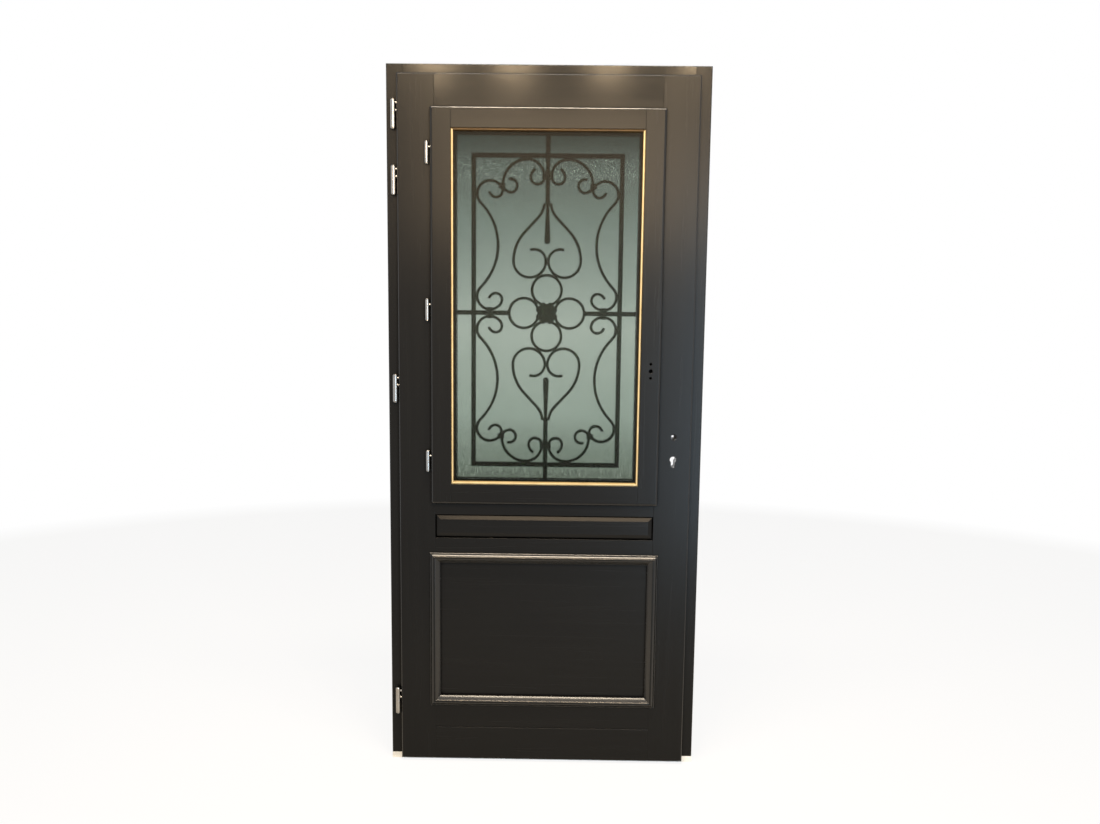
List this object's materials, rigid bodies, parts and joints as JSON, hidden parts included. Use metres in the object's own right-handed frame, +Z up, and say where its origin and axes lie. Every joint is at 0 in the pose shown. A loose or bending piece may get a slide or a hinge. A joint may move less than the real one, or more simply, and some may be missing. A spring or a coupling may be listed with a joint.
{
  "type": "glazed wooden front door",
  "caption": "Glazed wooden entrance door in its frame, with an inner glazed casement, a wrought-iron grille, fielded panels, lift-off hinges and a hinged leaf.",
  "frame": {"origin": "middle of the threshold's underside, half way through the frame's depth", "axes": "+X to the right seen from the room, +Y outdoors, +Z up"},
  "size_m": [0.98, 0.112, 2.19],
  "materials": {
    "painted_wood": "satin paint, dark brown grey, over fine grain",
    "gilt_bead": "gold paint, satin",
    "textured_glass": "obscured, finely hammered",
    "clear_glass": "clear",
    "spacer_metal": "matt",
    "grille_iron": "black paint, forged",
    "hinge_steel": "bright zinc plate",
    "lock_steel": "satin",
    "threshold_metal": "natural anodised",
    "seal": "matt black"
  },
  "bodies": {
    "frame": {"frame_hinge_jamb": "painted_wood", "frame_lock_jamb": "painted_wood", "frame_head": "painted_wood", "threshold": "threshold_metal", "frame_seal": "seal", "lock_keeper": "lock_steel", "door_hinge_1_frame_half": "hinge_steel", "door_hinge_2_frame_half": "hinge_steel", "door_hinge_3_frame_half": "hinge_steel", "door_hinge_4_frame_half": "hinge_steel"},
    "leaf": {"leaf_hinge_stile": "painted_wood", "leaf_lock_stile": "painted_wood", "leaf_top_rail": "painted_wood", "leaf_middle_rail": "painted_wood", "leaf_lower_rail": "painted_wood", "leaf_bottom_rail": "painted_wood", "narrow_panel": "painted_wood", "lower_panel": "painted_wood", "panel_moulding_inside": "painted_wood", "panel_moulding_outside": "painted_wood", "weatherboard": "painted_wood", "lock_case": "lock_steel", "lock_faceplate": "lock_steel", "door_hinge_1_leaf_half": "hinge_steel", "door_hinge_2_leaf_half": "hinge_steel", "door_hinge_3_leaf_half": "hinge_steel", "door_hinge_4_leaf_half": "hinge_steel", "casement_hinge_stile": "painted_wood", "casement_lock_stile": "painted_wood", "casement_bottom_rail": "painted_wood", "casement_top_rail": "painted_wood", "casement_seal": "seal", "glazing_bead": "gilt_bead", "glass_inner_pane": "textured_glass", "glass_outer_pane": "clear_glass", "glass_spacer": "spacer_metal", "casement_hinge_1": "hinge_steel", "casement_hinge_2": "hinge_steel", "casement_hinge_3": "hinge_steel", "grille": "grille_iron", "grille_rosette": "grille_iron", "grille_collars": "grille_iron"}
  },
  "joints": [
    {"name": "leaf_swing", "type": "hinge", "parent": "frame", "child": "leaf", "pos_m": [-0.468, -0.048, 0], "axis": [0, 0, -1], "range_deg": [0, 110]}
  ]
}
